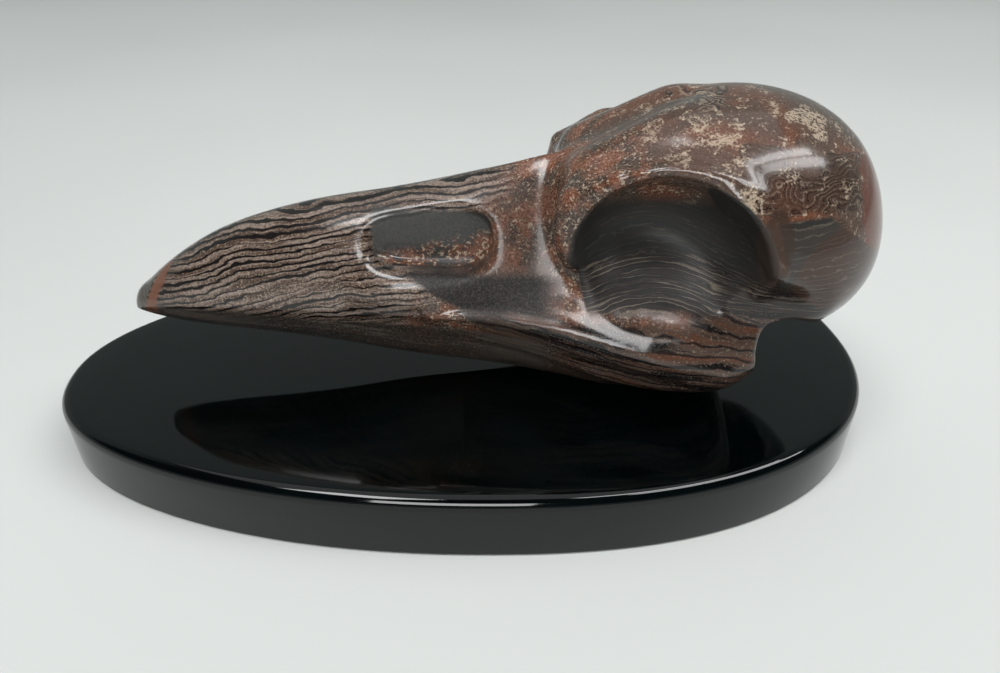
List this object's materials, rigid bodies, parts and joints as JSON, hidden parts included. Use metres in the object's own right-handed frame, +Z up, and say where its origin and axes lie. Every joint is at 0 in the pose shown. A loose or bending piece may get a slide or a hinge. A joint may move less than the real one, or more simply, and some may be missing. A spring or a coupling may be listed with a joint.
{
  "type": "bird skull carving on base",
  "caption": "Raven skull carved from one block of banded brown stone, with a long beak and open eye hollows, resting on a low polished egg-shaped stone base.",
  "frame": {"origin": "centre of the base's flat underside", "axes": "+Z up out of the base's top, +X along the base towards its broad end, under the braincase; the beak points roughly to -X"},
  "size_m": [0.128, 0.0716, 0.054],
  "materials": {
    "banded_stone": "polished banded brown, red and grey jasper-like stone",
    "dark_stone": "mirror-polished green-black stone"
  },
  "bodies": {
    "root": {"raven_skull": "banded_stone", "base": "dark_stone"}
  },
  "joints": []
}
